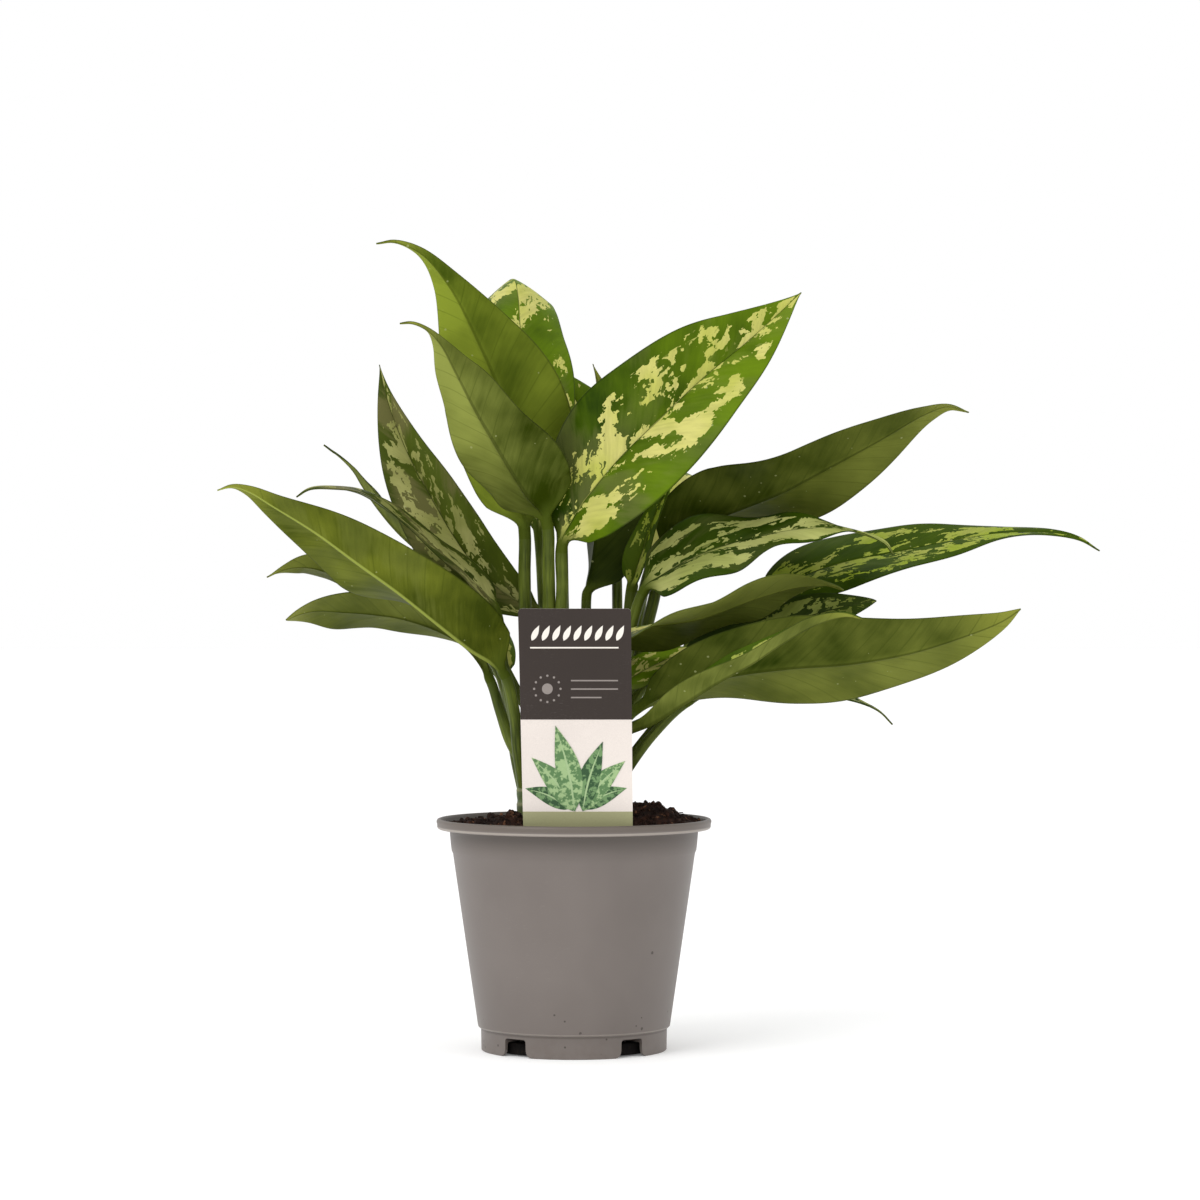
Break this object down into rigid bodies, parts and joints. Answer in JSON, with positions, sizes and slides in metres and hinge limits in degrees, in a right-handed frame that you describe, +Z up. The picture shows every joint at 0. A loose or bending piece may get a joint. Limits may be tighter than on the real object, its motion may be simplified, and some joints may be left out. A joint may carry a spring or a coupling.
{
  "type": "potted maria chinese evergreen",
  "caption": "Potted Chinese evergreen with lance-shaped, cream-patterned green leaves on arching stalks, in a taupe nursery pot with a plant tag.",
  "frame": {"origin": "on the ground under the middle of the bounding box; the pot's upright axis is 40 mm to -X and 28 mm to -Y of it", "axes": "+Z up, -Y to the front where the tag stands, +X to the side that the longest leaf reaches"},
  "size_m": [0.379, 0.2144, 0.3488],
  "materials": {
    "pot_plastic": "satin",
    "peat": "matte",
    "tag_plastic": "satin",
    "cane": "satin",
    "leaf": "satin"
  },
  "bodies": {
    "root": {"pot": "pot_plastic", "soil": "peat", "plant_tag": "tag_plastic", "cane_left": "cane", "cane_back": "cane", "cane_front": "cane", "cane_right": "cane", "leaf_upper_left": "leaf", "leaf_upper_front": "leaf", "leaf_upper_back": "leaf", "leaf_centre_tall": "leaf", "leaf_right_high": "leaf", "leaf_right_arching": "leaf", "leaf_right_far": "leaf", "leaf_right_waved": "leaf", "leaf_right_shaded": "leaf", "leaf_right_low": "leaf", "leaf_right_folded": "leaf", "leaf_right_drooping": "leaf", "leaf_right_small": "leaf", "leaf_left_broad": "leaf", "leaf_left_low": "leaf", "leaf_left_hidden": "leaf", "leaf_left_upright": "leaf", "leaf_left_back": "leaf", "leaf_left_arching": "leaf", "leaf_centre_dark": "leaf", "leaf_centre_back": "leaf", "leaf_centre_young": "leaf", "leaf_back_right": "leaf", "leaf_back_left": "leaf", "leaf_back_low": "leaf", "leaf_back_side": "leaf"}
  },
  "joints": []
}
